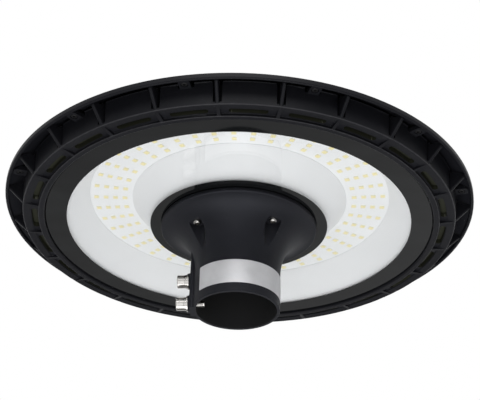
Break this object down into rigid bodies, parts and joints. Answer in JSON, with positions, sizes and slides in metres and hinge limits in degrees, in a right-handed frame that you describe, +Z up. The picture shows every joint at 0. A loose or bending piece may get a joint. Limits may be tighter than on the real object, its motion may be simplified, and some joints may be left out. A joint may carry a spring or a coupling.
{
  "type": "street light",
  "caption": "Post-top street light with a domed cover, ribbed round rim, ring of light packages behind annular glass, and a flared neck with clamp screws that fits over a pole.",
  "frame": {"origin": "centre of the pole socket's open mouth, the lowest plane of the light", "axes": "+Z up along the pole axis, -Y the front with the label band, -X the side with the clamp screws"},
  "size_m": [0.47, 0.47, 0.1805],
  "materials": {
    "casting_black": "satin black powder coat on cast aluminium",
    "clear_glass": "clear tempered glass",
    "black_enamel": "glossy black printed enamel",
    "gasket_black": "matt black rubber",
    "seal_grey": "matt grey silicone",
    "reflector_white": "matt white paint on sheet steel",
    "board_white": "white solder resist",
    "package_yellow": "pale yellow phosphor",
    "pad_grey": "soft grey thermal pad",
    "bright_steel": "bright stainless steel",
    "black_steel": "black oxide steel",
    "label_silver": "satin silver foil, blank",
    "driver_case": "light grey aluminium case",
    "terminal_grey": "grey plastic",
    "lead_black": "black cable sheath",
    "gland_black": "black nylon"
  },
  "bodies": {
    "head": {"neck": "casting_black", "neck_gasket": "gasket_black", "neck_screws": "bright_steel", "label_band": "label_silver", "housing": "casting_black", "glass_lens": "clear_glass", "outer_glass_border": "black_enamel", "inner_glass_border": "black_enamel", "outer_glass_seal": "seal_grey", "inner_glass_seal": "seal_grey", "outer_reflector": "reflector_white", "inner_reflector": "reflector_white", "led_board": "board_white", "led_packages": "package_yellow", "thermal_pad": "pad_grey", "top_cover": "casting_black", "cover_gasket": "gasket_black", "cover_screws": "black_steel", "driver": "driver_case", "driver_screws": "bright_steel", "terminal_block": "terminal_grey", "terminal_screws": "bright_steel", "supply_lead": "lead_black", "light_lead": "lead_black", "lead_grommet": "gasket_black", "cable_gland": "gland_black", "gland_nut": "gland_black"},
    "upper_washers": {"flat_washer_upper": "bright_steel", "spring_washer_upper": "bright_steel"},
    "upper_screw": {"clamp_screw_upper": "bright_steel"},
    "lower_washers": {"flat_washer_lower": "bright_steel", "spring_washer_lower": "bright_steel"},
    "lower_screw": {"clamp_screw_lower": "bright_steel"}
  },
  "joints": [
    {"name": "upper_clamp_advance", "type": "slide", "parent": "head", "child": "upper_washers", "axis": [-1, 0, 0], "range_m": [0, 0.0101]},
    {"name": "upper_clamp_turn", "type": "hinge", "parent": "upper_washers", "child": "upper_screw", "pos_m": [-0.0512, 0, 0.0331], "axis": [-1, 0, 0], "range_deg": [0, 2880]},
    {"name": "lower_clamp_advance", "type": "slide", "parent": "head", "child": "lower_washers", "axis": [-1, 0, 0], "range_m": [0, 0.0101]},
    {"name": "lower_clamp_turn", "type": "hinge", "parent": "lower_washers", "child": "lower_screw", "pos_m": [-0.0512, 0, 0.0086], "axis": [-1, 0, 0], "range_deg": [0, 2880]}
  ],
  "couplings": [
    {"joint": "upper_clamp_advance", "follows": "upper_clamp_turn", "m_per_rad": 0.00019894},
    {"joint": "lower_clamp_advance", "follows": "lower_clamp_turn", "m_per_rad": 0.00019894}
  ]
}
